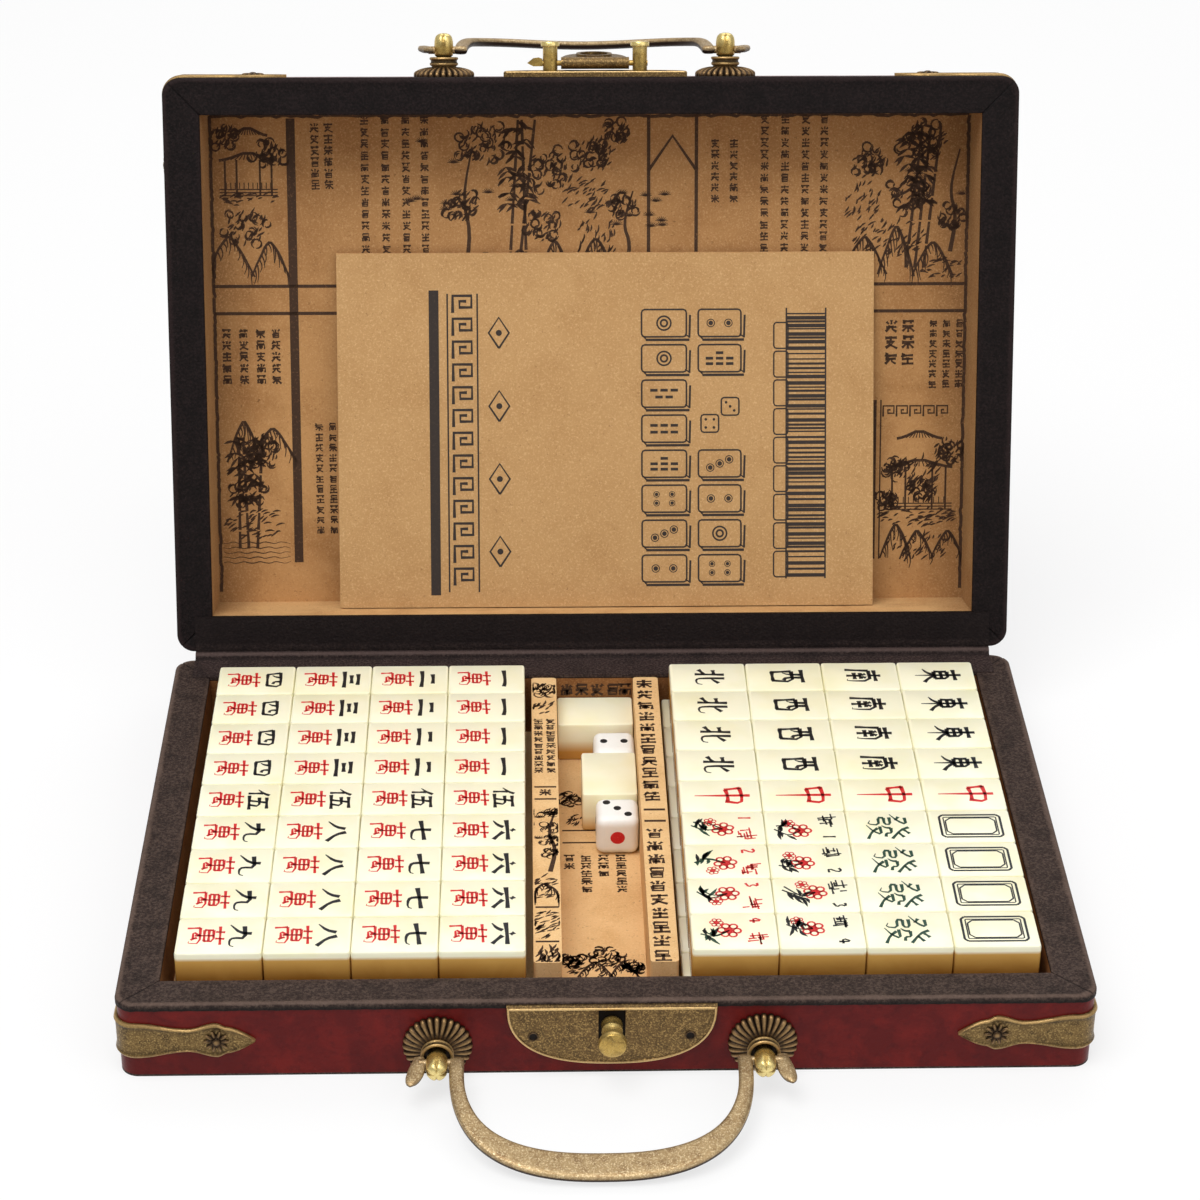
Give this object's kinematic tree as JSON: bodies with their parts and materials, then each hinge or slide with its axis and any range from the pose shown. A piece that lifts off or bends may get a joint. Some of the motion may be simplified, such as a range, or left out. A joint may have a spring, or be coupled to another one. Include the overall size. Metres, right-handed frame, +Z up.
{
  "type": "mahjong case",
  "caption": "Leather-covered hinged box with brass corners, latch and bail handles, holding two layered blocks of game tiles, loose tiles, dice and a booklet.",
  "frame": {"origin": "centre of the tray's underside, which rests on the table", "axes": "+X to the right, +Y to the hinge side, +Z up; the lid stands open"},
  "size_m": [0.2474, 0.3154, 0.1892],
  "materials": {
    "board_wood": "raw board",
    "rim_leather": "fine-grained, satin",
    "case_leather": "mottled oxblood, gloss",
    "lining_paper": "printed kraft, matte",
    "booklet_paper": "printed kraft, matte",
    "page_paper": "matte",
    "tile_resin": "cream face on an amber back, polished",
    "die_resin": "polished",
    "antique_brass": "mottled antique, worn edges",
    "bright_brass": "rubbed antique"
  },
  "bodies": {
    "tray": {"tray_front_board": "board_wood", "tray_back_board": "board_wood", "tray_left_board": "board_wood", "tray_right_board": "board_wood", "tray_bottom_panel": "board_wood", "tray_base_sheet": "rim_leather", "tray_cover": "case_leather", "tray_trim_front": "rim_leather", "tray_trim_left": "rim_leather", "tray_trim_right": "rim_leather", "hinge_bead_strip": "rim_leather", "tray_hinge_flap": "rim_leather", "tray_floor_lining": "lining_paper", "tray_wall_lining": "lining_paper", "divider_left": "lining_paper", "divider_right": "lining_paper", "tiles_left_top": "tile_resin", "tiles_left_bottom": "tile_resin", "tiles_right_top": "tile_resin", "tiles_right_bottom": "tile_resin", "spare_tiles": "tile_resin", "dice": "die_resin", "tray_corner_straps": "antique_brass", "tray_strap_rivets": "antique_brass", "tray_rosettes": "antique_brass", "tray_post_cups": "bright_brass", "tray_handle_posts": "bright_brass", "tray_latch_plate": "antique_brass", "tray_latch_peg": "bright_brass", "tray_latch_screws": "antique_brass"},
    "lid": {"lid_front_board": "board_wood", "lid_back_board": "board_wood", "lid_left_board": "board_wood", "lid_right_board": "board_wood", "lid_top_panel": "board_wood", "lid_top_sheet": "case_leather", "lid_cover": "case_leather", "lid_trim_front": "rim_leather", "lid_trim_left": "rim_leather", "lid_trim_right": "rim_leather", "lid_hinge_strip": "rim_leather", "lid_hinge_flap": "rim_leather", "lid_panel_lining": "lining_paper", "lid_wall_lining": "lining_paper", "booklet_cover": "booklet_paper", "booklet_pages": "page_paper", "lid_corner_straps": "antique_brass", "lid_strap_rivets": "antique_brass", "lid_rosettes": "antique_brass", "lid_post_cups": "bright_brass", "lid_handle_posts": "bright_brass", "lid_latch_plate": "antique_brass", "lid_latch_posts": "bright_brass", "lid_latch_screws": "antique_brass", "latch_pin": "bright_brass"},
    "tray_handle": {"tray_handle": "antique_brass"},
    "lid_handle": {"lid_handle": "antique_brass"},
    "hasp": {"latch_hasp": "antique_brass"}
  },
  "joints": [
    {"name": "lid_hinge", "type": "hinge", "parent": "tray", "child": "lid", "pos_m": [0, 0.0843, 0.0225], "axis": [1, 0, 0], "range_deg": [0, 108.8]},
    {"name": "tray_handle_pivot", "type": "hinge", "parent": "tray", "child": "tray_handle", "pos_m": [-0.0018, -0.0904, 0.0092], "axis": [-1, 0, 0], "range_deg": [0, 29.3]},
    {"name": "lid_handle_pivot", "type": "hinge", "parent": "lid", "child": "lid_handle", "pos_m": [-0.0018, 0.15319, 0.18359], "axis": [1, 0, 0], "range_deg": [0, 107]},
    {"name": "hasp_pivot", "type": "hinge", "parent": "lid", "child": "hasp", "pos_m": [0.001, 0.14512, 0.18254], "axis": [1, 0, 0], "range_deg": [0, 175]}
  ]
}
